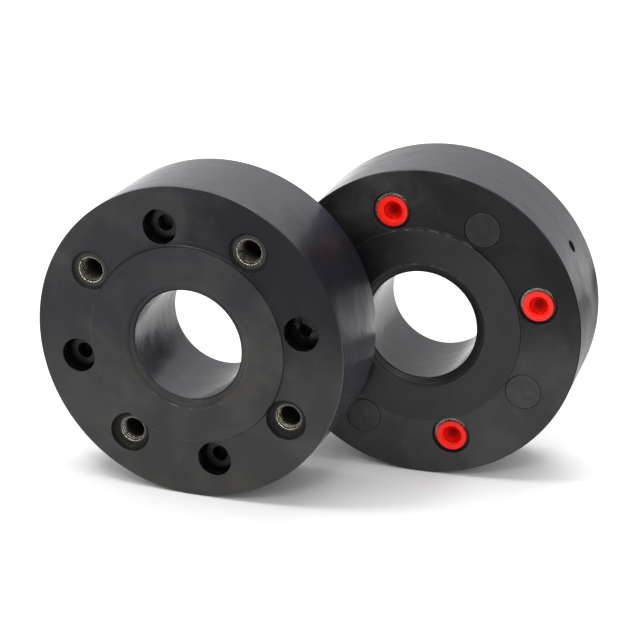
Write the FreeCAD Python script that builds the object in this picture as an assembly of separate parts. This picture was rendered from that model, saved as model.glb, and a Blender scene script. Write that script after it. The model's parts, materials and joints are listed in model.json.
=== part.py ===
import FreeCAD, Part
import math
import os

# Two torsionally flexible coupling elements standing on their rims.
# Each is a moulded rubber ring with eight bonded steel bushes: four open to
# the front, four open to the rear, alternating every 45 degrees.
# Frame: millimetres, +Z up, +Y along the first element's axis from its front
# face to its rear face, origin at the middle of that element's bore.

# ---- rubber ring --------------------------------------------------------
OUTER_R = 100.0          # outside radius of the ring
WIDTH = 63.5             # width between the two outer faces
BORE_R = 35.0            # through bore
HUB_R = 63.0             # raised hub land around the bore
HUB_RISE = 2.5           # height of the hub land above the outer face
RIM_CHAMFER = 0.7        # broken edge between face and rim
A_COVE = 2.0             # rounded foot of the first element's hub land
B_COVE = 0.6
LIP_OUT_R = 40.5         # where the moulded lip of the bore starts
LIP_MID_R = 38.8
LIP_MID_DEPTH = 1.0
LIP_IN_R = 35.8
LIP_DEPTH = 3.0          # depth of the lip below the hub land
BOLT_CIRCLE_R = 75.25    # circle that all eight bushes sit on

# ---- bonded steel bushes ------------------------------------------------
BUSH_R = 12.0
THREAD_MINOR_R = 6.917   # M16 x 2 internal thread, minor radius
THREAD_DEPTH = 34.0
MOUTH_CHAMFER_R = 8.1
MOUTH_CHAMFER = 1.2
BLIND_R = 4.75           # locating hole in the closed end
BLIND_DEPTH = 8.0
NOSE_R = 9.6             # small step on the closed end
NOSE_RISE = 1.5
END_RECESS = 10.5        # closed end sits this far below the rubber face
BOND_GAP = 0.05          # drawing clearance of the bonded joint

# ---- first element ------------------------------------------------------
A_REAR_ANGLE = 12.5      # first bush that opens to the rear
A_FRONT_ANGLE = 57.5     # first bush that opens to the front
A_SEATS = (2.0, 2.0, 5.0, 5.0)        # depth of each steel face below the rubber
A_SEAT_R = (10.6, 10.6, 9.3, 9.3)     # steel left uncovered by the rubber lip
A_LIP_R = (12.2, 12.2, 12.8, 12.8)    # mouth of the rubber lip
A_RECESS_R = 10.75

# ---- second element -----------------------------------------------------
B_CENTRE = (122.7, 80.3, 0.0)
B_TURN = 2.3             # turned about +Z relative to the first element
B_FRONT_ANGLE = 15.7
B_REAR_ANGLE = 60.6
B_SEAT = 2.8
B_SEAT_R = 10.9
B_LIP_R = 12.7
B_RECESS_R = 11.2
DISC_R = 11.05           # pressed-in blanking discs
DISC_PROUD = 0.5
MARK_ANGLE = 30.1        # round moulding pit in the rim
MARK_R = 4.0
MARK_DEPTH = 2.0

# ---- transit caps -------------------------------------------------------
CAP_FLANGE_R = 9.75
CAP_FLANGE_T = 1.6
CAP_STEM_R = 6.25
CAP_DROOP = 0.6          # the loose stem rests on the lower side of the thread
CAP_STEM_LENGTH = 8.0
CAP_MOUTH_R = 6.5
CAP_MOUTH_DEPTH = 1.15
CAP_NECK_R = 5.8
CAP_NECK_DEPTH = 2.7
CAP_CUP_R = 5.5
CAP_CUP_DEPTH = 5.35
CAP_DISH_R = 7.3         # rounded floor of the cup

H = WIDTH / 2.0
HUB_Y = H + HUB_RISE
V = FreeCAD.Vector
os.makedirs("parts", exist_ok=True)


def lathe(points):
    """Solid of revolution about Y from (radius, y) points."""
    wire = Part.makePolygon([V(r, y, 0) for r, y in points + [points[0]]])
    return Part.Face(wire).revolve(V(0, 0, 0), V(0, 1, 0), 360)


def rod(x, z, r, y0, y1):
    return Part.makeCylinder(r, y1 - y0, V(x, y0, z), V(0, 1, 0))


def cone(x, z, r0, y0, r1, y1):
    return Part.makeCone(r0, r1, y1 - y0, V(x, y0, z), V(0, 1, 0))


def spot(angle):
    a = math.radians(angle)
    return BOLT_CIRCLE_R * math.cos(a), BOLT_CIRCLE_R * math.sin(a)


def flip(shape):
    """The same feature on the other face: mirrored through the mid plane."""
    return shape.mirror(V(0, 0, 0), V(0, 1, 0))


def ring_blank(cove):
    half = [
        (BORE_R, HUB_Y - LIP_DEPTH),
        (LIP_IN_R, HUB_Y - LIP_DEPTH),
        (LIP_MID_R, HUB_Y - LIP_MID_DEPTH),
        (LIP_OUT_R, HUB_Y),
        (HUB_R - 0.4, HUB_Y),
        (HUB_R, HUB_Y - 0.4),
        (HUB_R, H),
        (OUTER_R - RIM_CHAMFER, H),
        (OUTER_R, H - RIM_CHAMFER),
    ]
    blank = lathe([(r, -y) for r, y in half] + list(reversed(half)))
    foot = [e for e in blank.Edges
            if abs(e.BoundBox.XMax - HUB_R) < 1e-3 and e.BoundBox.YLength < 1e-3
            and abs(abs(e.BoundBox.YMax) - H) < 1e-3]
    return blank.makeFillet(cove, foot)


def bush_cut(angle, seat, seat_r, lip_r, recess_r):
    """Everything one front-facing bush removes from the rubber."""
    x, z = spot(angle)
    slope = (lip_r - seat_r) / seat
    mouth = cone(x, z, lip_r + slope * 0.0, -H, seat_r, -H + seat)
    over = rod(x, z, lip_r, -HUB_Y - 1.0, -H)
    pocket = rod(x, z, BUSH_R + BOND_GAP, -H + seat - BOND_GAP,
                 H - END_RECESS + BOND_GAP)
    recess = rod(x, z, recess_r, H - END_RECESS, HUB_Y + 1.0)
    return over.fuse([mouth, pocket, recess])


def bush(angle, seat):
    """Front-facing steel bush: threaded mouth, closed end with a small step."""
    x, z = spot(angle)
    y0 = -H + seat
    y1 = H - END_RECESS
    body = rod(x, z, BUSH_R, y0, y1)
    nose = rod(x, z, NOSE_R, y1 - 1.0, y1 + NOSE_RISE)
    shape = body.fuse(nose).removeSplitter()
    hole = rod(x, z, THREAD_MINOR_R, y0 - 1.0, y0 + THREAD_DEPTH)
    tip = cone(x, z, THREAD_MINOR_R, y0 + THREAD_DEPTH - 0.001,
               0.4, y0 + THREAD_DEPTH + 2.0)
    lead = cone(x, z, MOUTH_CHAMFER_R, y0, THREAD_MINOR_R, y0 + MOUTH_CHAMFER)
    blind = rod(x, z, BLIND_R, y1 + NOSE_RISE - BLIND_DEPTH, y1 + NOSE_RISE + 1)
    return shape.cut(hole).cut(tip).cut(lead).cut(blind)


def blanking_disc(angle):
    """Rubber disc pressed into the recess over a bush's closed end (at +Y)."""
    x, z = spot(angle)
    y0 = H - END_RECESS + NOSE_RISE + 0.1
    y1 = H + DISC_PROUD
    disc = rod(x, z, DISC_R, y0, y1 - 0.3)
    top = cone(x, z, DISC_R, y1 - 0.3, DISC_R - 0.3, y1)
    return disc.fuse(top).removeSplitter()


def cap(angle):
    """Transit cap in a front-facing bush: flange, hollow cup, blind stem."""
    x, z = spot(angle)
    z -= CAP_DROOP
    under = -H + B_SEAT - BOND_GAP
    top = under - CAP_FLANGE_T
    tip = under + CAP_STEM_LENGTH
    flange = rod(x, z, CAP_FLANGE_R, top, under)
    stem = rod(x, z, CAP_STEM_R, under - 0.2, tip - 1.0)
    end = cone(x, z, CAP_STEM_R, tip - 1.0, CAP_STEM_R - 1.0, tip)
    shape = flange.fuse([stem, end]).removeSplitter()
    mouth = rod(x, z, CAP_MOUTH_R, top - 1.0, top + CAP_MOUTH_DEPTH)
    neck = rod(x, z, CAP_NECK_R, top, top + CAP_NECK_DEPTH)
    ball = Part.makeSphere(CAP_DISH_R, V(x, top + CAP_CUP_DEPTH - CAP_DISH_R, z))
    cup = ball.common(rod(x, z, CAP_CUP_R, top + CAP_NECK_DEPTH - 0.5,
                          top + CAP_CUP_DEPTH + 1.0))
    return shape.cut(mouth).cut(neck).cut(cup)


def place_b(shape):
    s = shape.copy()
    s.rotate(V(0, 0, 0), V(0, 0, 1), B_TURN)
    s.translate(V(*B_CENTRE))
    return s


def save(name, shape):
    if len(shape.Solids) != 1:
        raise RuntimeError("%s has %d solids" % (name, len(shape.Solids)))
    if not shape.isValid():
        raise RuntimeError("%s is not valid" % name)
    shape.Solids[0].exportStep("parts/%s.step" % name)
    print("%-26s %9.1f mm3" % (name, shape.Volume))


# ---- first element: all bushes open, closed ends in open recesses --------
rubber = ring_blank(A_COVE)
cuts = []
for i in range(4):
    cuts.append(bush_cut(A_FRONT_ANGLE + 90 * i, A_SEATS[i], A_SEAT_R[i],
                         A_LIP_R[i], A_RECESS_R))
    cuts.append(flip(bush_cut(A_REAR_ANGLE + 90 * i, A_SEATS[i], A_SEAT_R[i],
                              A_LIP_R[i], A_RECESS_R)))
save("rubber_ring_a", rubber.cut(cuts).removeSplitter())
for i in range(4):
    save("bush_a_front_%d" % (i + 1), bush(A_FRONT_ANGLE + 90 * i, A_SEATS[i]))
    save("bush_a_rear_%d" % (i + 1), flip(bush(A_REAR_ANGLE + 90 * i, A_SEATS[i])))

# ---- second element: caps in the threads, discs over the closed ends -----
rubber = ring_blank(B_COVE)
cuts = []
for i in range(4):
    cuts.append(bush_cut(B_FRONT_ANGLE + 90 * i, B_SEAT, B_SEAT_R, B_LIP_R,
                         B_RECESS_R))
    cuts.append(flip(bush_cut(B_REAR_ANGLE + 90 * i, B_SEAT, B_SEAT_R, B_LIP_R,
                              B_RECESS_R)))
# Round moulding pit in the rim, half way along the width.
mark = Part.makeCylinder(MARK_R, 2 * MARK_DEPTH,
                         V(OUTER_R - MARK_DEPTH, 0, 0), V(1, 0, 0))
mark.rotate(V(0, 0, 0), V(0, 1, 0), -MARK_ANGLE)
cuts.append(mark)
save("rubber_ring_b", place_b(rubber.cut(cuts).removeSplitter()))
for i in range(4):
    fa = B_FRONT_ANGLE + 90 * i
    ra = B_REAR_ANGLE + 90 * i
    save("bush_b_front_%d" % (i + 1), place_b(bush(fa, B_SEAT)))
    save("bush_b_rear_%d" % (i + 1), place_b(flip(bush(ra, B_SEAT))))
    # Discs on the rear face cover the front bushes' closed ends, and the
    # other way round.
    save("disc_b_rear_%d" % (i + 1), place_b(blanking_disc(fa)))
    save("disc_b_front_%d" % (i + 1), place_b(flip(blanking_disc(ra))))
    save("cap_b_front_%d" % (i + 1), place_b(cap(fa)))
    save("cap_b_rear_%d" % (i + 1), place_b(flip(cap(ra))))
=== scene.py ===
import json
import math

import bmesh
import bpy
import numpy as np
from mathutils import Matrix, Vector, noise


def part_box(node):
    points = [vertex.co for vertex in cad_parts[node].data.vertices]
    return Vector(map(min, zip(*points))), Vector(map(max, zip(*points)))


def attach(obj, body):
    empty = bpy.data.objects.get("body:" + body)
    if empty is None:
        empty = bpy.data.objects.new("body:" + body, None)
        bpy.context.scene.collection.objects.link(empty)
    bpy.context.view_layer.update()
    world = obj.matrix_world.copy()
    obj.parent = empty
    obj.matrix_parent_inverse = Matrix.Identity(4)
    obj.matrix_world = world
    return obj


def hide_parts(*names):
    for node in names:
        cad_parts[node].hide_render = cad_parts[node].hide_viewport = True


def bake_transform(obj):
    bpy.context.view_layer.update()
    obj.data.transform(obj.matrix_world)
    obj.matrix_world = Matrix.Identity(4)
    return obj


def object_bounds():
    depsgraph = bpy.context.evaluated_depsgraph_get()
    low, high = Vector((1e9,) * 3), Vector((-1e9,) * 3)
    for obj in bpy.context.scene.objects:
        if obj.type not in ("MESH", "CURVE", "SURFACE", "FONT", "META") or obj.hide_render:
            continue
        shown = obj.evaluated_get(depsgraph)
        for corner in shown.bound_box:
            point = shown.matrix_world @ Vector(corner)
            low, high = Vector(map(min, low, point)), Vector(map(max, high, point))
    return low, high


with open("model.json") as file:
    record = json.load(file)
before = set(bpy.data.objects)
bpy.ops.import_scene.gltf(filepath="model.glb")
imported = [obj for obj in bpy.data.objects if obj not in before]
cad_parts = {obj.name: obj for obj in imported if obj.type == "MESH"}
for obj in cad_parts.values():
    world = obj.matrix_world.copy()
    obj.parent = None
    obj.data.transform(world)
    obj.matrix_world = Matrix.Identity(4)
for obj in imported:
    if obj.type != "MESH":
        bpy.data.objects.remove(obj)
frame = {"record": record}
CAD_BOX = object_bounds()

MM = 0.001
TAU = 2.0 * math.pi

# ---------------------------------------------------------------------------
# Where things are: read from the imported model
# ---------------------------------------------------------------------------
MOUNTS = {m["name"]: m for m in frame["record"]["mounts"]}


def centre_of(node):
    lo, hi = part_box(node)
    return (lo + hi) * 0.5


def element_matrix(ring_node, mount):
    """Element frame: origin in the middle of the bore, local +Y front to rear."""
    axis = Vector(MOUNTS[mount]["axis"])
    if axis.y < 0:
        axis = -axis
    turn = math.atan2(-axis.x, axis.y)
    return Matrix.Translation(centre_of(ring_node)) @ Matrix.Rotation(turn, 4, "Z")


M_A = element_matrix("rubber_ring_a", "bore_a")
M_B = element_matrix("rubber_ring_b", "bore_b")


def local_spot(node, m):
    """Bush, cap or disc axis in the element plane: (x, z) in mm."""
    p = m.inverted() @ centre_of(node)
    return p.x / MM, p.z / MM


# ---------------------------------------------------------------------------
# Drawing dimensions, mm
# ---------------------------------------------------------------------------
H = 31.75
HUB_Y = 34.25
BUSH_R = 12.0
MINOR_R = 6.917
MAJOR_R = 8.0
PITCH = 2.0
END_RECESS = 10.5
NOSE_RISE = 1.5
SEGS = 288


# ---------------------------------------------------------------------------
# Mesh helpers
# ---------------------------------------------------------------------------
def arc(cx, cy, rad, a0, a1, n):
    """Points (r, y) on an arc, angles in degrees."""
    out = []
    for i in range(n + 1):
        a = math.radians(a0 + (a1 - a0) * i / n)
        out.append((cx + rad * math.cos(a), cy + rad * math.sin(a)))
    return out


def lathe(profile, segs, closed=False, warp=None, phase=0.0):
    """Vertices and faces of (r, y) points turned about the Y axis."""
    verts, rings = [], []
    for k, (r, y) in enumerate(profile):
        if r < 1e-6:
            rings.append([len(verts)])
            verts.append((0.0, y, 0.0))
            continue
        ring = []
        for j in range(segs):
            t = TAU * j / segs + phase
            rr, yy = (r, y) if warp is None else warp(k, t, r, y)
            ring.append(len(verts))
            verts.append((rr * math.cos(t), yy, rr * math.sin(t)))
        rings.append(ring)
    faces = []
    pairs = list(zip(rings[:-1], rings[1:]))
    if closed:
        pairs.append((rings[-1], rings[0]))
    for a, b in pairs:
        if len(a) == 1 and len(b) == 1:
            continue
        for j in range(segs):
            j2 = (j + 1) % segs
            if len(a) == 1:
                faces.append((a[0], b[j], b[j2]))
            elif len(b) == 1:
                faces.append((a[j], b[0], a[j2]))
            else:
                faces.append((a[j], b[j], b[j2], a[j2]))
    return verts, faces


def to_mesh(name, verts, faces, merge=0.0, scale=MM):
    me = bpy.data.meshes.new(name)
    me.from_pydata([(x * scale, y * scale, z * scale) for x, y, z in verts], [], faces)
    bm = bmesh.new()
    bm.from_mesh(me)
    if merge > 0:
        bmesh.ops.remove_doubles(bm, verts=bm.verts, dist=merge * scale)
        bmesh.ops.dissolve_degenerate(bm, edges=bm.edges, dist=1e-7)
        loose = [v for v in bm.verts if not v.link_faces]
        bmesh.ops.delete(bm, geom=loose, context="VERTS")
    bmesh.ops.recalc_face_normals(bm, faces=bm.faces)
    bm.to_mesh(me)
    bm.free()
    return me


def link(name, me):
    ob = bpy.data.objects.new(name, me)
    bpy.context.scene.collection.objects.link(ob)
    return ob


def smooth(me, sharp_deg=40.0):
    """Smooth faces, with edges above the angle kept sharp."""
    bm = bmesh.new()
    bm.from_mesh(me)
    lim = math.radians(sharp_deg)
    for f in bm.faces:
        f.smooth = True
    for e in bm.edges:
        e.smooth = not (len(e.link_faces) == 2 and e.calc_face_angle(0.0) > lim)
    bm.to_mesh(me)
    bm.free()


def weighted(ob):
    m = ob.modifiers.new("normals", "WEIGHTED_NORMAL")
    m.mode = "FACE_AREA"
    m.weight = 50
    m.keep_sharp = True
    return ob


def wave(t, seed, freq=1.0):
    """Smooth noise round a circle, about -1..1."""
    return noise.noise(Vector((math.cos(t) * freq, math.sin(t) * freq, seed * 7.31)))


# ---------------------------------------------------------------------------
# Rubber ring
# ---------------------------------------------------------------------------
def ring_half(edge, cove):
    """(r, distance from the mid plane) from the bore out to the rim."""
    p = [(35.0, 30.6), (35.0, 30.95)]
    p += [(35.05, 31.14), (35.18, 31.24), (35.32, 31.16), (35.38, 30.86),
          (35.5, 30.7), (35.64, 30.8), (35.72, 31.14), (35.86, 31.36)]
    p += [(36.1, 31.5), (38.25, 32.72), (38.5, 32.9), (38.64, 33.16), (38.76, 33.4),
          (38.98, 33.5), (39.3, 33.56), (39.95, 33.86), (40.2, 34.02), (40.45, 34.15),
          (40.8, 34.23), (41.2, 34.25)]
    p += [(52.0, 34.25)]
    p += arc(62.95 - edge, 34.25 - edge, edge, 90, 6, 6)
    base = 31.75 + cove
    if 34.25 - edge - base > 0.15:
        p += [(63.0, (34.25 - edge + base) / 2)]
    p += arc(63.05 + cove, base, cove, 180, 270, 7)[1:]
    p += [(64.0 + cove, 31.75), (98.4, 31.75)]
    p += arc(99.05, 30.8, 0.95, 90, 0, 6)
    p += [(100.0, 29.9)]
    return p


def bowl(lip_r, seat_r, seat):
    """Rubber lip over a bush: rounded mouth, curving in to the steel face."""
    pts = [(lip_r - 0.05, -5.5), (lip_r - 0.02, -1.2), (lip_r + 0.2, -0.5), (lip_r + 0.5, -0.09),
           (lip_r + 0.3, 0.015), (lip_r + 0.15, 0.11), (lip_r + 0.04, 0.3)]
    dr = lip_r - seat_r
    for i in range(1, 8):
        s = i / 8.0
        d = 0.3 + (seat - 0.3) * math.sin(s * math.pi / 2) ** 0.9
        r = lip_r - dr * (1 - math.cos(s * math.pi / 2)) ** 0.95
        pts.append((r, d))
    pts.append((seat_r, seat - 0.05))
    return pts


def cutter(x, z, seat, seat_r, lip_r, recess_r, flip, seed, rag, mouth_r=0.5, segs=128):
    """Everything one front-facing bush takes out of the rubber, as one closed lathe."""
    mouth = bowl(lip_r, seat_r, seat)
    prof = [(0.0, -H - 5.5)] + [(r, -H + d) for r, d in mouth]
    n_mouth = len(prof)
    prof += [(BUSH_R + 0.05, -H + seat - 0.05), (BUSH_R + 0.05, H - END_RECESS + 0.05)]
    back = [(recess_r, 10.45), (recess_r, 6.0), (recess_r + 0.05, 2.5),
            (recess_r + 0.06, 0.6), (recess_r + 0.12, 0.28), (recess_r + 0.24, 0.09),
            (recess_r + mouth_r, -0.03), (recess_r + 0.25, -0.3), (recess_r, -0.8), (recess_r, -5.5)]
    if recess_r < 11.0:
        # rubber drawn up in a fillet between the wall and the bush's step
        back = [(9.72, 10.42), (9.78, 10.2), (9.95, 9.9), (10.2, 9.6), (10.45, 9.2), (10.65, 8.7),
                (recess_r, 8.0)] + back[1:]
    prof += [(r, H - d) for r, d in back] + [(0.0, H + 5.5)]
    n = len(prof)

    def warp(k, t, r, y):
        front = k < n_mouth
        depth = (y + H) if front else (H - y)
        if r > BUSH_R + 0.04 and abs(r - BUSH_R - 0.05) < 1e-6:
            return r, y
        near = math.exp(-max(depth, 0.0) / 1.3)
        near = near if depth > -0.3 else 0.4
        a = wave(t, seed + (0 if front else 50), 1.2) * 0.12
        b = wave(t, seed + (3 if front else 53), 4.0) * 0.12
        c = max(0.0, wave(t, seed + (5 if front else 55), 7.0) - 0.3) * 1.4
        rr = r + rag * (a + (b + c) * near)
        if front and depth > seat - 0.3:
            rr = r + rag * (a * 1.5 + b * 1.2)
        return rr, y

    v, f = lathe(prof, segs, warp=warp, phase=0.013)
    if flip:
        v = [(px, -py, pz) for px, py, pz in v]
    return [(px + x, py, pz + z) for px, py, pz in v], f


def boolean_cut(name, base, cutters):
    """base mesh minus one mesh of separate closed cutters."""
    verts, faces = [], []
    for v, f in cutters:
        o = len(verts)
        verts += v
        faces += [tuple(i + o for i in face) for face in f]
    cut = link(name + "_cut", to_mesh(name + "_cut", verts, faces))
    ob = link(name, base)
    mod = ob.modifiers.new("cut", "BOOLEAN")
    mod.operation = "DIFFERENCE"
    mod.solver = "EXACT"
    mod.object = cut
    bpy.context.view_layer.update()
    dg = bpy.context.evaluated_depsgraph_get()
    me = bpy.data.meshes.new_from_object(ob.evaluated_get(dg))
    ob.modifiers.clear()
    ob.data = me
    cm = cut.data
    bpy.data.objects.remove(cut)
    bpy.data.meshes.remove(cm)
    return ob


def clean(me):
    bm = bmesh.new()
    bm.from_mesh(me)
    bmesh.ops.remove_doubles(bm, verts=bm.verts, dist=2e-6)
    bmesh.ops.dissolve_degenerate(bm, edges=bm.edges, dist=1e-7)
    bmesh.ops.delete(bm, geom=[v for v in bm.verts if not v.link_faces], context="VERTS")
    bmesh.ops.recalc_face_normals(bm, faces=bm.faces)
    bm.to_mesh(me)
    bm.free()


def keep_rest(me):
    """Element coordinates at rest, so that the rubber's finish moves with it."""
    co = np.zeros(len(me.vertices) * 3, np.float32)
    me.vertices.foreach_get("co", co)
    at = me.attributes.new("rest_co", "FLOAT_VECTOR", "POINT")
    at.data.foreach_set("vector", co)


def rim_pit(angle, segs=48):
    """Round moulding pit in the rim, half way along the width."""
    levels = [(98.0, 0.0), (98.0, 3.3), (98.08, 3.6), (98.35, 3.82), (99.0, 3.92), (99.75, 3.97),
              (99.9, 4.02), (99.99, 4.13), (100.1, 4.3), (103.0, 4.3), (103.0, 0.0)]
    v, f = lathe([(r, h) for h, r in levels], segs)
    c, s = math.cos(math.radians(angle)), math.sin(math.radians(angle))
    out = []
    for px, h, pz in v:
        t = math.atan2(pz, px)
        k = 1.0 + 0.02 * wave(t, 21, 1.5)
        out.append((h * c - pz * k * s, px * k, h * s + pz * k * c))
    return out, f


def make_ring(name, node, m, specs, edge, cove, mouth_r, extra=()):
    """specs: (bush node, flip, seat, seat_r, lip_r, recess_r, rag)."""
    half = ring_half(edge, cove)
    prof = [(r, -y) for r, y in half] + [(r, y) for r, y in reversed(half)]
    v, f = lathe(prof, SEGS, closed=True)
    base = to_mesh(name, v, f)
    cuts = []
    for i, (bush_node, flip, seat, seat_r, lip_r, recess_r, rag) in enumerate(specs):
        x, z = local_spot(bush_node, m)
        cuts.append(cutter(x, z, seat, seat_r, lip_r, recess_r, flip, i + len(name), rag, mouth_r))
    ob = boolean_cut(name, base, cuts + list(extra))
    clean(ob.data)
    smooth(ob.data, 38.0)
    keep_rest(ob.data)
    ob.matrix_world = m
    bpy.context.view_layer.update()
    x, z = local_spot([s[0] for s in specs if s[1]][0], m)
    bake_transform(ob)
    weighted(ob)
    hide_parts(node)
    return ob


# ---------------------------------------------------------------------------
# Steel bush: local origin in its open face, +Y towards the closed end
# ---------------------------------------------------------------------------
def thread_radius(k):
    """Radius at step k of 8 along one pitch of the internal thread."""
    table = (0.0, 0.0, 0.0, 0.433, 0.866, 1.083, 0.866, 0.433)
    return MINOR_R + table[k % 8]


def bush_mesh(name, length, segs=72):
    """length: open face to closed shoulder, mm."""
    depth = 30.0
    rows = int(depth / PITCH * 8) + 8
    verts, faces, idx = [], [], {}
    for k in range(-8, rows):
        for j in range(segs + 1):
            t = TAU * j / segs
            y = (k / 8.0 + j / segs) * PITCH
            yc = min(max(y, 0.0), depth)
            fade = min(1.0, max(0.0, (depth - yc) / 3.0))
            r = MINOR_R + (thread_radius(k) - MINOR_R) * fade
            lead = 8.12 - (yc / 0.9) * (8.12 - MINOR_R)
            r = max(r, lead) if yc < 0.9 else r
            if yc <= 0.0:
                r = 8.12
            if yc >= depth:
                r = MINOR_R
            idx[k, j] = len(verts)
            verts.append((r * math.cos(t), yc, r * math.sin(t)))
    for k in range(-8, rows - 1):
        for j in range(segs):
            faces.append((idx[k, j], idx[k, j + 1], idx[k + 1, j + 1], idx[k + 1, j]))
    y1 = length
    nose = y1 + NOSE_RISE
    outer = [(8.12, 0.0), (8.3, -0.0), (11.4, 0.0)]
    outer += arc(11.5, 0.5, 0.5, -90, 0, 3)
    outer += [(12.0, y1 - 0.5)]
    outer += arc(11.5, y1 - 0.5, 0.5, 0, 90, 3)
    outer += [(10.1, y1), (9.8, y1 + 0.1), (9.66, y1 + 0.35)]
    outer += arc(9.0, nose - 0.6, 0.6, 0, 90, 5)
    outer += [(7.6, nose), (6.2, nose - 0.06), (5.6, nose - 0.02)]
    outer += arc(5.3, nose - 0.5, 0.5, 90, 180, 5)
    outer += [(4.75, nose - 7.2), (4.2, nose - 7.9), (0.0, nose - 8.3)]
    v, f = lathe(outer, segs)
    o = len(verts)
    verts += v
    faces += [tuple(i + o for i in face) for face in f]
    inner = [(MINOR_R, depth), (MINOR_R, 34.0), (0.0, 36.2)]
    v, f = lathe(inner, segs)
    o = len(verts)
    verts += v
    faces += [tuple(i + o for i in face) for face in f]
    me = to_mesh(name, verts, faces, merge=0.004)
    smooth(me, 34.0)
    return me


def place(m, x, y, z, flip):
    """Element frame point with local +Y into the element from its own face."""
    out = m @ Matrix.Translation(Vector((x, y, z)) * MM)
    if flip:
        out = out @ Matrix.Rotation(math.pi, 4, "Z")
    return out


def add_piece(name, me, world, body, node, mats):
    ob = link(name, me)
    ob.matrix_world = world
    bpy.context.view_layer.update()
    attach(ob, body)
    if node:
        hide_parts(node)
    if len(me.materials) == 0:
        for mat in mats:
            me.materials.append(mat)
    return ob


# ---------------------------------------------------------------------------
# Transit cap: local origin on the flange underside, +Y along the stem
# ---------------------------------------------------------------------------
def cap_mesh(name, segs=96):
    top = -1.6
    p = [(0.0, 8.0), (4.8, 8.0)]
    p += arc(5.45, 7.2, 0.8, 90, 0, 3)
    p += [(6.25, 6.0), (6.25, 0.35), (6.6, 0.02), (7.0, 0.0), (9.1, 0.0)]
    p += arc(9.3, -0.45, 0.45, 90, 0, 3)
    p += [(9.75, -1.0)]
    p += arc(9.2, top + 0.55, 0.55, 0, -90, 6)
    p += [(8.2, top + 0.02), (7.1, top + 0.02)]
    p += arc(6.9, top + 0.37, 0.35, -90, -180, 5)
    p += [(6.52, top + 0.75), (6.45, top + 0.98), (6.3, top + 1.1), (6.05, top + 1.15),
          (5.9, top + 1.24), (5.82, top + 1.5), (5.78, top + 2.4), (5.68, top + 2.65), (5.5, top + 2.85)]
    # dished floor
    for i in range(1, 13):
        r = 5.5 * (1 - i / 12.0)
        p.append((r, top + 5.35 - (7.3 - math.sqrt(7.3 ** 2 - r * r))))
    v, f = lathe(p, segs)
    me = to_mesh(name, v, f, merge=0.002)
    smooth(me, 50.0)
    return me


def flash_mesh(name, nose, seed, segs=120):
    """Torn skin of rubber over the closed end's step, with an angular hole in it."""
    rows = 10
    tops, bots = [], []
    for i in range(rows + 1):
        u = i / rows
        top, bot = [], []
        for j in range(segs):
            t = TAU * j / segs
            c, s_ = math.cos(t + 0.35), math.sin(t + 0.35)
            inner = 4.9 / (abs(c) ** 1.3 + abs(s_) ** 1.3) ** (1 / 1.3) + 0.35 * wave(t, seed, 2.5)
            inner += 0.35 * max(0.0, wave(t, seed + 1, 8.0))
            outer = 10.35 + 0.12 * wave(t, seed + 2, 3.0)
            r = inner + (outer - inner) * u
            fold = 0.55 * wave(t, seed + 4, 3.0) * math.sin(u * math.pi)
            lift = 1.5 * (1 - u) ** 1.5 + 0.9 * max(0.0, wave(t, seed + 6, 1.3)) * (1 - u) + fold
            h = nose + 0.45 + max(-0.2, lift)
            if u > 0.9:
                h -= 0.5 * (u - 0.9) / 0.1
            top.append((r * math.cos(t), h, r * math.sin(t)))
            thick = 0.12 + 0.5 * min(1.0, u * 4)
            bot.append((r * math.cos(t), h - thick, r * math.sin(t)))
        tops.append(top)
        bots.append(bot)
    rings = tops + bots[::-1]
    verts = [p for ring in rings for p in ring]
    faces = []
    n = len(rings)
    for k in range(n):
        k2 = (k + 1) % n
        for j in range(segs):
            j2 = (j + 1) % segs
            faces.append((k * segs + j, k * segs + j2, k2 * segs + j2, k2 * segs + j))
    me = to_mesh(name, verts, faces)
    smooth(me, 50.0)
    return me


def flash_rubber(name):
    g = Graph(name)
    tc = g.new("ShaderNodeTexCoord")
    p = g.vec("SCALE", tc.outputs["Object"], scale=1000.0)
    mid = g.noise(p, 0.5, 4.0, 0.6, 0.4)
    fine = g.noise(p, 2.5, 3.0, 0.6)
    g.set(Base_Color=g.mix(mid, (0.002, 0.002, 0.0024), (0.007, 0.0072, 0.0085)),
          Roughness=g.line(fine, 0.3, 0.7, 0.12, 0.24), IOR=1.5)
    g.b.inputs["Specular IOR Level"].default_value = 0.3
    n = g.bump(mid, 0.0005, 0.5)
    g.set(Normal=g.bump(fine, 0.0001, 0.5, n))
    return g.mat


# ---------------------------------------------------------------------------
# Blanking disc: local origin in its outer face, +Y into the recess
# ---------------------------------------------------------------------------
def disc_mesh(name, seed, segs=96):
    p = [(0.0, 0.0), (4.0, 0.005), (8.0, 0.03), (10.3, 0.05), (10.72, 0.09)]
    p += [(10.93, 0.17), (11.05, 0.32), (11.08, 0.55), (11.08, 2.0), (11.05, 8.8), (10.4, 9.3), (0.0, 9.3)]

    def warp(k, t, r, y):
        n = wave(t, seed, 1.5) * 0.035 + wave(t, seed + 2, 5.0) * 0.02
        return r + (n if r > 9.0 else 0.0), y

    v, f = lathe(p, segs, warp=warp)
    me = to_mesh(name, v, f, merge=0.002)
    smooth(me, 50.0)
    return me


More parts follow.
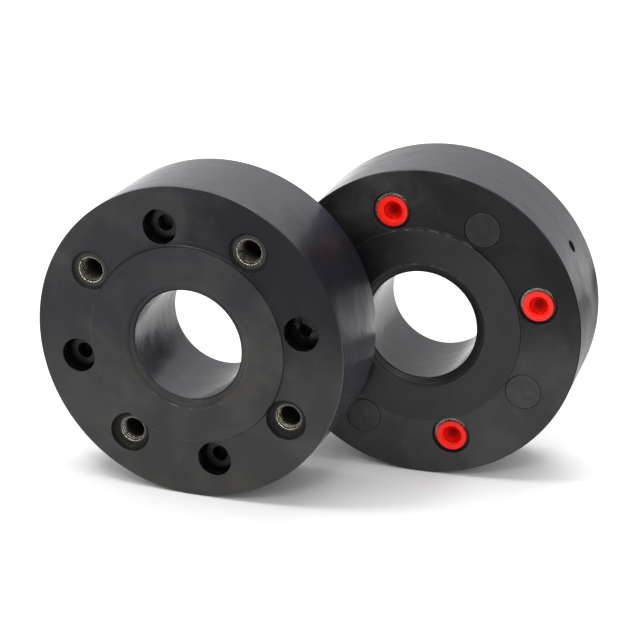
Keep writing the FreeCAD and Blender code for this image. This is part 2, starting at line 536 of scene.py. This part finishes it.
# ---------------------------------------------------------------------------
# Materials
# ---------------------------------------------------------------------------
class Graph:
    def __init__(self, name):
        self.mat = bpy.data.materials.new(name)
        self.mat.use_nodes = True
        self.t = self.mat.node_tree
        self.t.nodes.clear()
        self.out = self.t.nodes.new("ShaderNodeOutputMaterial")
        self.b = self.t.nodes.new("ShaderNodeBsdfPrincipled")
        self.t.links.new(self.b.outputs[0], self.out.inputs[0])

    def new(self, kind, **props):
        n = self.t.nodes.new(kind)
        for k, v in props.items():
            setattr(n, k, v)
        return n

    def put(self, socket, value):
        if isinstance(value, bpy.types.NodeSocket):
            self.t.links.new(value, socket)
        elif value is not None:
            socket.default_value = value

    def math(self, op, a, b=None, c=None, clamp=False):
        n = self.new("ShaderNodeMath", operation=op, use_clamp=clamp)
        self.put(n.inputs[0], a)
        self.put(n.inputs[1], b)
        self.put(n.inputs[2], c)
        return n.outputs[0]

    def vec(self, op, a, b=None, scale=None):
        n = self.new("ShaderNodeVectorMath", operation=op)
        self.put(n.inputs[0], a)
        self.put(n.inputs[1], b)
        if scale is not None:
            self.put(n.inputs["Scale"], scale)
        return n.outputs["Value"] if op in ("LENGTH", "DOT_PRODUCT", "DISTANCE") else n.outputs["Vector"]

    def split(self, v):
        n = self.new("ShaderNodeSeparateXYZ")
        self.put(n.inputs[0], v)
        return n.outputs

    def join(self, x, y, z):
        n = self.new("ShaderNodeCombineXYZ")
        for s, v in zip(n.inputs, (x, y, z)):
            self.put(s, v)
        return n.outputs[0]

    def noise(self, v, scale, detail=3.0, rough=0.55, distort=0.0):
        n = self.new("ShaderNodeTexNoise")
        self.put(n.inputs["Vector"], v)
        n.inputs["Scale"].default_value = scale
        n.inputs["Detail"].default_value = detail
        n.inputs["Roughness"].default_value = rough
        n.inputs["Distortion"].default_value = distort
        return n.outputs[0]

    def step(self, v, lo, hi, a=0.0, b=1.0):
        """Smooth step from a at lo to b at hi."""
        n = self.new("ShaderNodeMapRange", interpolation_type="SMOOTHSTEP")
        self.put(n.inputs[0], v)
        for i, x in zip((1, 2, 3, 4), (lo, hi, a, b)):
            n.inputs[i].default_value = x
        return n.outputs[0]

    def line(self, v, lo, hi, a=0.0, b=1.0):
        n = self.new("ShaderNodeMapRange")
        self.put(n.inputs[0], v)
        for i, x in zip((1, 2, 3, 4), (lo, hi, a, b)):
            n.inputs[i].default_value = x
        return n.outputs[0]

    def band(self, v, a, b, c, d):
        """0 below a, 1 between b and c, 0 above d."""
        return self.math("MULTIPLY", self.step(v, a, b), self.step(v, c, d, 1.0, 0.0))

    def mix(self, f, a, b):
        n = self.new("ShaderNodeMix", data_type="RGBA")
        self.put(n.inputs[0], f)
        for s, v in ((n.inputs[6], a), (n.inputs[7], b)):
            if isinstance(v, bpy.types.NodeSocket):
                self.t.links.new(v, s)
            else:
                s.default_value = (*v, 1.0)
        return n.outputs[2]

    def bump(self, height, distance, strength=1.0, under=None):
        n = self.new("ShaderNodeBump")
        n.inputs["Strength"].default_value = strength
        n.inputs["Distance"].default_value = distance
        self.put(n.inputs["Height"], height)
        if under is not None:
            self.put(n.inputs["Normal"], under)
        return n.outputs[0]

    def set(self, **kw):
        for k, v in kw.items():
            self.put(self.b.inputs[k.replace("_", " ")], v if not isinstance(v, tuple) else (*v, 1.0))


def ring_rubber(name, dark, bloom, amount, rough, side_rough, seed, first_hole, bottom_painted_light, gloss, patch, side_patch,
                hub_film, side_col, bowl_col, rub_and_highlight_arc, bore_gloss, warmth):
    """Moulded black rubber: cloudy bloom on the faces, glossier rim and bore, hole walls painted near-black and bowls
    painted darker grey as shade.
    patch: (angle, half width in degrees) of a darker stretch of the outer face, painted shade beside the hub step on
    A and a cleaner stretch on B;
    side_patch: (angle, half width, gloss, roughness) of a duller stretch of the rim, with its colour darkened there
    as painted shade;
    rub_and_highlight_arc: (angle, half width) of pale broken lines on the edge of the hub land and the bore lip,
    painted highlight and partly rub marks."""
    g = Graph(name)
    at = g.new("ShaderNodeAttribute", attribute_name="rest_co")
    p = g.vec("SCALE", at.outputs["Vector"], scale=1000.0)
    x, y, z = g.split(p)
    r = g.vec("LENGTH", g.join(x, 0.0, z))
    th = g.math("ARCTAN2", z, x)
    q = g.vec("ADD", p, (seed * 37.0, seed * 11.0, seed * 19.0))
    # where on the ring
    rim = g.step(r, 99.2, 99.9)
    bore = g.step(r, 35.6, 35.1)
    side = g.math("MAXIMUM", rim, bore)
    near = g.math("WRAP", g.math("SUBTRACT", th, math.radians(first_hole)),
                  math.radians(22.5), math.radians(-22.5))
    hx = g.math("SUBTRACT", g.math("MULTIPLY", r, g.math("COSINE", near)), 75.25)
    hz = g.math("MULTIPLY", r, g.math("SINE", near))
    hd = g.vec("LENGTH", g.join(hx, 0.0, hz))
    depth = g.math("SUBTRACT", 31.75, g.math("ABSOLUTE", y))
    hole = g.math("MULTIPLY", g.step(hd, 13.4, 13.0), g.step(depth, 0.1, 0.9))
    # the same face alternates: bowls around the threads, deep recesses between them
    turn4 = g.math("WRAP", g.math("SUBTRACT", th, math.radians(first_hole + 45.0)),
                   math.radians(45.0), math.radians(-45.0))
    turn4 = g.step(g.math("ABSOLUTE", turn4), math.radians(24.0), math.radians(20.0))
    front = g.step(y, 1.0, -1.0)
    bowl = g.math("ADD", g.math("MULTIPLY", turn4, front),
                  g.math("MULTIPLY", g.math("SUBTRACT", 1.0, turn4), g.math("SUBTRACT", 1.0, front)), clamp=True)
    bowl = g.math("MULTIPLY", bowl, g.step(depth, 7.5, 6.5))
    # clouds and wipe marks
    big = g.noise(q, 0.018, 3.0, 0.55, 0.5)
    mid = g.noise(q, 0.06, 4.0, 0.6, 0.4)
    small = g.noise(q, 0.28, 4.0, 0.6, 0.2)
    fine = g.noise(q, 1.1, 3.0, 0.6)
    grain = g.noise(q, 4.5, 2.0, 0.5)
    # marks that run round the ring
    streak_v = g.join(g.math("MULTIPLY", th, 0.9), g.math("MULTIPLY", y, 0.16), 3.0 + seed)
    streak = g.noise(streak_v, 1.0, 3.0, 0.55)
    face_v = g.join(g.math("MULTIPLY", th, 2.0), g.math("MULTIPLY", r, 0.24), 8.0 + seed)
    turn = g.noise(face_v, 1.0, 4.0, 0.65, 0.3)
    film_and_painted_light = g.math("MULTIPLY", g.step(big, 0.36, 0.66), g.line(mid, 0.3, 0.7, 0.3, 1.0))
    film_and_painted_light = g.math("ADD", film_and_painted_light, g.math("MULTIPLY", g.step(turn, 0.45, 0.75), 0.07))
    film_and_painted_light = g.math("ADD", film_and_painted_light, g.math("MULTIPLY", g.step(small, 0.55, 0.75), 0.14))
    film_and_painted_light = g.math("ADD", film_and_painted_light, g.math("MULTIPLY", g.step(fine, 0.62, 0.8), 0.08))
    # lighter towards the bottom of the face: painted light for the brighter near floor seen in reflection
    film_and_painted_light = g.math("ADD", film_and_painted_light, g.math("MULTIPLY", g.step(z, 40.0, -95.0), bottom_painted_light))
    film_and_painted_light = g.math("MULTIPLY", film_and_painted_light, g.line(side, 0.0, 1.0, amount, amount * 0.45), clamp=True)
    hub = g.step(r, 63.4, 62.8)
    film_and_painted_light = g.math("MULTIPLY", film_and_painted_light, g.line(hub, 0.0, 1.0, 1.0, hub_film))
    # darker stretch of the outer face: painted shade beside the hub step on A, a cleaner wiped stretch on B
    turned = g.math("ADD", th, g.line(mid, 0.3, 0.7, -0.16, 0.16))
    away = g.math("ABSOLUTE", g.math("WRAP", g.math("SUBTRACT", turned, math.radians(patch[0])), math.pi, -math.pi))
    wipe_and_shade = g.math("MULTIPLY", g.step(away, math.radians(patch[1] + 24), math.radians(patch[1] - 14)),
                   g.math("MULTIPLY", g.step(r, 62.6, 64.2), g.math("SUBTRACT", 1.0, side, clamp=True)))
    film_and_painted_light = g.math("MULTIPLY", film_and_painted_light, g.line(wipe_and_shade, 0.0, 1.0, 1.0, 0.25))
    # duller stretch of the rim: rougher and less glossy, with its colour darkened as painted shade
    slow = g.math("ADD", th, g.line(big, 0.3, 0.7, -0.10, 0.10))
    off = g.math("ABSOLUTE", g.math("WRAP", g.math("SUBTRACT", slow, math.radians(side_patch[0])), math.pi, -math.pi))
    dull_and_shade = g.math("MULTIPLY", g.step(off, math.radians(side_patch[1] + 16), math.radians(side_patch[1] - 10)), rim)
    dusty = g.step(g.noise(q, 0.034, 4.0, 0.62, 0.6), 0.44, 0.62)
    bloom_at = g.mix(dusty, bloom, (bloom[0] * 1.02, bloom[1] * 0.99, bloom[2] * warmth))
    col = g.mix(film_and_painted_light, dark, bloom_at)
    specks = g.step(g.noise(q, 0.85, 2.0, 0.5), 0.735, 0.78)
    specks = g.math("MULTIPLY", specks, g.math("SUBTRACT", 1.0, side, clamp=True))
    col = g.mix(g.math("MULTIPLY", specks, 0.3), col, tuple(min(1.0, c * 3.5) for c in bloom))
    col = g.mix(side, col, g.mix(g.line(mid, 0.3, 0.7), side_col, tuple(c * 1.25 for c in side_col)))
    # rim colour darkened in the duller stretch: painted shade
    col = g.mix(g.math("MULTIPLY", dull_and_shade, 0.8), col, dark)
    # pale broken lines along the hub edge and bore lip: painted highlight, partly rub marks
    arc_off = g.math("ABSOLUTE", g.math("WRAP", g.math("SUBTRACT", th, math.radians(rub_and_highlight_arc[0])), math.pi, -math.pi))
    rub_and_highlight = g.math("MULTIPLY", g.step(arc_off, math.radians(rub_and_highlight_arc[1] + 12), math.radians(rub_and_highlight_arc[1] - 12)),
                  g.math("MAXIMUM", g.band(r, 62.35, 62.6, 62.95, 63.15), g.band(r, 40.1, 40.4, 40.8, 41.2)))
    broken = g.noise(g.join(g.math("MULTIPLY", th, 14.0), g.math("MULTIPLY", r, 0.9), 5.0 + seed), 1.0, 3.0, 0.7)
    rub_and_highlight = g.math("MULTIPLY", rub_and_highlight, g.step(broken, 0.48, 0.6))
    col = g.mix(g.math("MULTIPLY", rub_and_highlight, 0.75), col, (0.105, 0.104, 0.098))
    # hole walls painted near-black and bowls painted darker grey with specks: painted shade inside the holes
    pale = g.mix(g.step(fine, 0.5, 0.66), bowl_col, tuple(c * 2.2 for c in bowl_col))
    col = g.mix(hole, col, g.mix(bowl, (0.0035, 0.0035, 0.004), pale))
    rr = g.line(side, 0.0, 1.0, rough, side_rough)
    rr = g.math("ADD", rr, g.line(mid, 0.3, 0.7, -0.03, 0.04))
    rr = g.math("ADD", rr, g.math("MULTIPLY", side, g.line(streak, 0.35, 0.65, -0.03, 0.04)))
    pit = g.math("MULTIPLY", hole, g.math("SUBTRACT", 1.0, bowl))
    rr = g.math("MULTIPLY", rr, g.line(pit, 0.0, 1.0, 1.0, 0.45))
    rr = g.math("ADD", rr, g.math("MULTIPLY", g.math("MULTIPLY", hole, bowl), 0.12))
    spec = g.math("MULTIPLY", g.line(wipe_and_shade, 0.0, 1.0, gloss, gloss * 0.5), g.line(hole, 0.0, 1.0, 1.0, 0.4))
    spec = g.math("MULTIPLY", spec, g.line(film_and_painted_light, 0.0, 1.0, 0.92, 1.08))
    spec = g.math("ADD", spec, g.math("MULTIPLY", side, 0.45 - gloss))
    spec = g.math("ADD", spec, g.math("MULTIPLY", bore, bore_gloss - 0.45))
    spec = g.math("ADD", spec, g.math("MULTIPLY", dull_and_shade, side_patch[2] - 0.45))
    rr = g.math("ADD", rr, g.math("MULTIPLY", dull_and_shade, side_patch[3] - side_rough))
    g.set(Base_Color=col, Roughness=rr, IOR=1.5, Specular_IOR_Level=spec)
    g.b.inputs["Specular Tint"].default_value = (0.975, 0.96, 1.0, 1.0)
    low = g.bump(g.noise(q, 0.045, 2.0, 0.5), 0.0009, 0.35)
    mid_h = g.bump(g.math("ADD", mid, g.math("MULTIPLY", small, 0.25)), 0.00032, 0.5, low)
    str_h = g.bump(g.math("MULTIPLY", streak, side), 0.00018, 0.3, mid_h)
    h = g.math("ADD", g.math("MULTIPLY", grain, 0.6), g.math("MULTIPLY", fine, 0.8))
    h = g.math("MULTIPLY", h, g.line(side, 0.0, 1.0, 1.0, 0.1))
    g.set(Normal=g.bump(h, 0.00005, 0.4, str_h))
    return g.mat


def disc_rubber(name, gloss):
    g = Graph(name)
    tc = g.new("ShaderNodeTexCoord")
    p = g.vec("SCALE", tc.outputs["Object"], scale=1000.0)
    info = g.new("ShaderNodeObjectInfo")
    q = g.vec("ADD", p, g.vec("SCALE", info.outputs["Location"], scale=900.0))
    mid = g.noise(q, 0.16, 4.0, 0.6, 0.3)
    fine = g.noise(q, 1.4, 3.0, 0.6)
    x, y, z = g.split(p)
    r = g.vec("LENGTH", g.join(x, 0.0, z))
    edge = g.band(r, 9.7, 10.3, 10.7, 11.0)
    col = g.mix(g.line(mid, 0.3, 0.7), (0.006 + 0.018 * gloss, 0.0062 + 0.0182 * gloss, 0.0074 + 0.0185 * gloss),
                (0.010 + 0.042 * gloss, 0.0102 + 0.0422 * gloss, 0.0118 + 0.0425 * gloss))
    col = g.mix(g.math("MULTIPLY", edge, 0.35), col, (0.03, 0.03, 0.032))
    rr = g.line(mid, 0.3, 0.7, 0.34, 0.44)
    g.set(Base_Color=col, Roughness=rr, IOR=1.5, Specular_IOR_Level=g.line(mid, 0.3, 0.7, gloss * 0.9, gloss * 1.1))
    n = g.bump(mid, 0.0004, 0.4)
    g.set(Normal=g.bump(fine, 0.00006, 0.5, n))
    return g.mat


def steel(name, crest_highlight_gain, crest_shade_depth, bright_rim):
    """Phosphated steel bush: olive phosphate coat with specks on its face, bare thread crests near the mouth, black
    closed end; painted darker inside the bore and down the thread as shade.
    """
    g = Graph(name)
    tc = g.new("ShaderNodeTexCoord")
    p = g.vec("SCALE", tc.outputs["Object"], scale=1000.0)
    info = g.new("ShaderNodeObjectInfo")
    q = g.vec("ADD", p, g.vec("SCALE", info.outputs["Location"], scale=1700.0))
    x, y, z = g.split(p)
    r = g.vec("LENGTH", g.join(x, 0.0, z))
    fine = g.noise(q, 1.6, 4.0, 0.65)
    mid = g.noise(q, 0.35, 4.0, 0.6, 0.4)
    grain = g.noise(q, 5.0, 2.0, 0.6)
    dots = g.step(g.noise(q, 2.4, 2.0, 0.55), 0.58, 0.7)
    blots = g.step(mid, 0.55, 0.7)
    # rubber and phosphate coat, painted darker inside the thread bore as shade
    inside = g.step(r, 8.25, 8.05)
    film_and_painted_light = g.mix(g.line(fine, 0.3, 0.7), (0.006, 0.0058, 0.0047), (0.019, 0.018, 0.0138))
    film_and_painted_light = g.mix(inside, film_and_painted_light, g.mix(mid, (0.0025, 0.0022, 0.0018), (0.006, 0.0054, 0.0042)))
    bare = g.mix(g.line(fine, 0.3, 0.7), (0.20, 0.175, 0.125), (0.42, 0.37, 0.28))
    # how much metal shows
    lead = g.math("MULTIPLY", g.band(r, 7.55, 7.85, 8.14, 8.3), g.step(y, 0.75, 0.45))
    lead = g.math("MULTIPLY", lead, g.line(g.step(g.noise(q, 0.9, 3.0, 0.65), 0.40, 0.54), 0.0, 1.0, 0.2, 1.0))
    # bare thread crests: fading down the hole as painted shade, brighter in the deep bushes as painted highlight
    flank = g.math("MULTIPLY", g.band(r, 6.925, 6.95, 7.14, 7.26), g.step(y, crest_shade_depth, 1.5))
    chips = g.step(g.noise(q, 1.3, 3.0, 0.65), 0.40, 0.56)
    flank = g.math("MULTIPLY", flank, g.math("MULTIPLY", g.line(chips, 0.0, 1.0, 0.15, 1.0), crest_highlight_gain), clamp=True)
    face = g.math("MULTIPLY", g.step(y, 0.6, 0.3), g.step(r, 8.2, 8.5))
    specks = g.math("MULTIPLY", face, g.math("MULTIPLY", dots, g.line(blots, 0.0, 1.0, 0.22, 0.6)))
    show = g.math("MAXIMUM", g.math("MAXIMUM", lead, flank), specks)
    if bright_rim:
        # rubber torn off the rim of the seat, most of it at the top
        up = g.math("ADD", g.math("MULTIPLY", z, 0.086), g.math("MULTIPLY", x, -0.05))
        up = g.step(g.math("ADD", up, g.line(fine, 0.2, 0.8, -0.3, 0.3)), -0.1, 0.5)
        torn = g.step(g.noise(q, 2.1, 3.0, 0.75), 0.47, 0.58)
        show = g.math("MAXIMUM", show, g.math("MULTIPLY", g.math("MULTIPLY", up, face),
                                              g.math("MULTIPLY", torn, g.line(fine, 0.25, 0.6, 0.6, 1.0))))
    front = g.step(y, 30.0, 24.0)
    show = g.math("MULTIPLY", show, front, clamp=True)
    col = g.mix(show, film_and_painted_light, g.mix(g.math("MAXIMUM", lead, flank), bare, (0.66, 0.62, 0.52)))
    if bright_rim:
        col = g.mix(g.math("MULTIPLY", g.math("MULTIPLY", show, face), 0.9), col, (0.40, 0.40, 0.39))
    end = g.math("GREATER_THAN", y, 44.0)
    col = g.mix(end, col, g.mix(mid, (0.0035, 0.0035, 0.0042), (0.008, 0.0085, 0.011)))
    rough = g.math("ADD", g.line(fine, 0.3, 0.7, 0.34, 0.54), g.math("MULTIPLY", show, -0.10))
    rough = g.math("ADD", rough, g.math("MULTIPLY", end, -0.26))
    spec = g.math("MULTIPLY", g.line(inside, 0.0, 1.0, 0.32, 0.07), g.math("SUBTRACT", 1.0, end))
    spec = g.math("ADD", spec, g.math("MULTIPLY", end, 0.2))
    g.set(Base_Color=col, Metallic=show, Roughness=rough, IOR=1.5, Specular_IOR_Level=spec)
    n = g.bump(fine, 0.00014, 0.6)
    g.set(Normal=g.bump(grain, 0.00004, 0.6, n))
    return g.mat


def cap_plastic(name):
    """Glossy moulded red polythene."""
    g = Graph(name)
    tc = g.new("ShaderNodeTexCoord")
    p = g.vec("SCALE", tc.outputs["Object"], scale=1000.0)
    info = g.new("ShaderNodeObjectInfo")
    q = g.vec("ADD", p, g.vec("SCALE", info.outputs["Location"], scale=1300.0))
    x, y, z = g.split(p)
    r = g.vec("LENGTH", g.join(x, 0.0, z))
    mid = g.noise(q, 0.25, 3.0, 0.55, 0.3)
    fine = g.noise(q, 2.2, 3.0, 0.6)
    cup = g.math("MULTIPLY", g.step(r, 6.0, 5.6), g.step(y, 0.3, 1.3))
    col = g.mix(g.line(mid, 0.3, 0.7), (0.87, 0.008, 0.002), (0.94, 0.013, 0.003))
    # cup painted darker deeper down and towards its top: painted shade, the depth part also the thin wall over the
    # dark steel
    deep = g.math("MULTIPLY", g.step(y, 2.2, 3.7), g.line(z, -5.0, 5.0, 0.72, 1.0))
    col = g.mix(cup, col, g.mix(deep, (0.62, 0.004, 0.002), (0.125, 0.002, 0.001)))
    rough = g.math("ADD", g.line(fine, 0.3, 0.7, 0.22, 0.32), g.math("MULTIPLY", cup, -0.13))
    g.set(Base_Color=col, Roughness=rough, IOR=1.5, Specular_IOR_Level=g.line(cup, 0.0, 1.0, 0.27, 0.03))
    g.b.inputs["Subsurface Weight"].default_value = 0.1
    g.b.inputs["Subsurface Radius"].default_value = (0.004, 0.0005, 0.0003)
    g.b.inputs["Subsurface Scale"].default_value = 0.5
    n = g.bump(mid, 0.00022, 0.4)
    g.set(Normal=g.bump(fine, 0.00003, 0.5, n))
    return g.mat


def floor_paper(name):
    g = Graph(name)
    tc = g.new("ShaderNodeTexCoord")
    n = g.noise(tc.outputs["Object"], 14.0, 3.0, 0.5)
    g.set(Base_Color=g.mix(n, (0.90, 0.90, 0.90), (0.92, 0.92, 0.92)), Roughness=0.85)
    g.b.inputs["Specular IOR Level"].default_value = 0.15
    return g.mat


# ---------------------------------------------------------------------------
# Build the pieces
# ---------------------------------------------------------------------------
A_SEAT = (2.0, 2.0, 5.0, 5.0)
A_SEAT_R = (10.6, 10.6, 9.3, 9.3)
A_LIP_R = (12.2, 12.2, 12.8, 12.8)
B_SEAT, B_SEAT_R, B_LIP_R = 2.8, 10.9, 12.7

specs_a, specs_b = [], []
for i in range(4):
    specs_a.append(("bush_a_front_%d" % (i + 1), False, A_SEAT[i], A_SEAT_R[i], A_LIP_R[i], 10.75, 1.0))
    specs_a.append(("bush_a_rear_%d" % (i + 1), True, A_SEAT[i], A_SEAT_R[i], A_LIP_R[i], 10.75, 1.0))
    specs_b.append(("bush_b_front_%d" % (i + 1), False, B_SEAT, B_SEAT_R, 12.05, 11.2, 0.6))
    specs_b.append(("bush_b_rear_%d" % (i + 1), True, B_SEAT, B_SEAT_R, 12.05, 11.2, 0.6))

ring_a = make_ring("element_a_rubber", "rubber_ring_a", M_A, specs_a,
                   0.4, 2.0, 0.5)
ring_b = make_ring("element_b_rubber", "rubber_ring_b", M_B, specs_b,
                   0.3, 0.55, 0.12, extra=[rim_pit(30.1)])
MAT_A = ring_rubber("ring_rubber_worn", (0.0072, 0.0074, 0.0105), (0.0295, 0.0290, 0.0272), 1.0, 0.36, 0.21, 1.0,
                    12.5, 0.55, 0.32, (42.0, 38.0), (29.0, 13.0, 0.06, 0.42),
                    0.9, (0.030, 0.030, 0.038), (0.010, 0.0098, 0.0085), (268.0, 34.0), 0.64, 0.80)
MAT_B = ring_rubber("ring_rubber_clean", (0.0048, 0.0048, 0.0056), (0.032, 0.0318, 0.0312), 0.9, 0.32, 0.19, 4.0,
                    60.6, 0.6, 0.32, (48.0, 44.0), (-8.0, 28.0, 0.03, 0.26),
                    0.3, (0.012, 0.012, 0.018), (0.0105, 0.0105, 0.0108), (82.0, 26.0), 0.47, 0.94)
ring_a.data.materials.clear()
ring_a.data.materials.append(MAT_A)
ring_b.data.materials.clear()
ring_b.data.materials.append(MAT_B)

STEEL_A = steel("bush_steel_open", 0.6, 16.0, False)
# the deep-seated bushes get brighter crests over a shorter run: a painted-highlight copy of the same steel
STEEL_DEEP_HIGHLIGHT = steel("bush_steel_deep", 1.3, 8.0, False)
STEEL_B = steel("bush_steel_capped", 0.6, 12.0, True)
CAP = cap_plastic("cap_plastic_red")
DISC = disc_rubber("disc_rubber_plain", 0.36)
DISC_CLEAN = disc_rubber("disc_rubber_clean", 0.2)

bush_meshes = {}


def bush_for(seat, kind):
    key = (seat, kind)
    if key not in bush_meshes:
        bush_meshes[key] = bush_mesh("bush_%s_%d" % (kind, int(seat * 10)), 63.5 - seat - END_RECESS)
    return bush_meshes[key]


for el, m, kind, mat in (("a", M_A, "open", STEEL_A), ("b", M_B, "capped", STEEL_B)):
    for i in range(4):
        seat = A_SEAT[i] if el == "a" else B_SEAT
        for side, flip in (("front", False), ("rear", True)):
            node = "bush_%s_%s_%d" % (el, side, i + 1)
            x, z = local_spot(node, m)
            y = (-H + seat) if not flip else (H - seat)
            body = "element_%s" % el if not flip else "rear_bushes_%s" % el
            ob = add_piece("steel_" + node, bush_for(seat, kind), place(m, x, y, z, flip), body,
                           node, [STEEL_DEEP_HIGHLIGHT if seat > 4.0 else mat])
            weighted(ob)

x, z = local_spot("bush_a_rear_1", M_A)
L1 = 63.5 - A_SEAT[0] - END_RECESS
add_piece("rubber_flash_a", flash_mesh("rubber_flash", L1 + NOSE_RISE, 11), place(M_A, x, H - A_SEAT[0], z, True),
          "rear_bushes_a", None, [flash_rubber("ring_rubber_flash")])

cap_me = cap_mesh("transit_cap")
disc_meshes = {True: disc_mesh("blanking_disc_clean", 3), False: disc_mesh("blanking_disc", 3)}
for i in range(4):
    for side, flip in (("front", False), ("rear", True)):
        node = "cap_b_%s_%d" % (side, i + 1)
        x, z = local_spot(node, M_B)
        y = (-H + B_SEAT - 0.05) if not flip else (H - B_SEAT + 0.05)
        add_piece("red_" + node, cap_me, place(M_B, x, y, z, flip), "cap_%s_%d" % (side, i + 1),
                  node, [CAP])
        node = "disc_b_%s_%d" % (side, i + 1)
        x, z = local_spot(node, M_B)
        y = (-H - 0.5) if not flip else (H + 0.5)
        body = "rear_bushes_b" if side == "front" else "element_b"
        add_piece("rubber_" + node, disc_meshes[i == 0], place(M_B, x, y, z, flip), body, node,
                  [DISC_CLEAN if i == 0 else DISC])

# ---------------------------------------------------------------------------
# Stage, lights, camera
# ---------------------------------------------------------------------------
scene = bpy.context.scene
low = CAD_BOX[0][2]
v, f = [], []
R_FLOOR, N_FLOOR = 7.0, 96
v = [(0.0, 0.0, 0.0)] + [(R_FLOOR * math.cos(TAU * i / N_FLOOR), R_FLOOR * math.sin(TAU * i / N_FLOOR), 0.0)
                         for i in range(N_FLOOR)]
f = [(0, i + 1, (i + 1) % N_FLOOR + 1) for i in range(N_FLOOR)]
me = bpy.data.meshes.new("floor")
me.from_pydata(v, [], f)
floor = link("floor", me)
floor.location = (0.06, 0.04, low)
me.materials.append(floor_paper("floor_paper"))

world = bpy.data.worlds.new("studio")
scene.world = world
world.use_nodes = True
bg = world.node_tree.nodes["Background"]
bg.inputs[0].default_value = (1.0, 1.0, 1.0, 1.0)
bg.inputs[1].default_value = 0.88


def softbox(name, where, at, size_x, size_y, radiance):
    """Area light given by its surface brightness."""
    data = bpy.data.lights.new(name, "AREA")
    data.shape = "RECTANGLE"
    data.size, data.size_y = size_x, size_y
    data.energy = radiance * math.pi * size_x * size_y
    ob = bpy.data.objects.new(name, data)
    scene.collection.objects.link(ob)
    ob.location = where
    ob.rotation_euler = (Vector(at) - Vector(where)).to_track_quat("-Z", "Y").to_euler()
    return ob


softbox("top", (-0.45, -0.40, 1.3), (0.05, 0.0, 0.0), 0.32, 0.32, 18.0)
softbox("front", (0.46, -1.25, 1.25), (0.05, 0.0, 0.0), 0.3, 0.3, 16.0)
softbox("rear_floor", (0.15, 0.95, 1.2), (0.0, 0.42, low), 0.5, 0.5, 5.0)
sun_data = bpy.data.lights.new("overhead", "SUN")
sun_data.energy = 1.15
sun_data.angle = math.radians(50.0)
sun = bpy.data.objects.new("overhead", sun_data)
scene.collection.objects.link(sun)
sun.rotation_euler = Vector((-0.05, -0.12, -1.0)).to_track_quat("-Z", "Y").to_euler()

cam_data = bpy.data.cameras.new("camera")
cam_data.sensor_width = 36.0
cam_data.lens = 112.65
cam_data.clip_end = 50.0
cam = bpy.data.objects.new("camera", cam_data)
scene.collection.objects.link(cam)
cam.location = (0.4532, -1.0703, 0.4448)
cam.rotation_euler = Vector((-0.3122, 0.8815, -0.3545)).to_track_quat("-Z", "Y").to_euler()
scene.camera = cam
scene.view_settings.view_transform = "Standard"
scene.view_settings.look = "None"
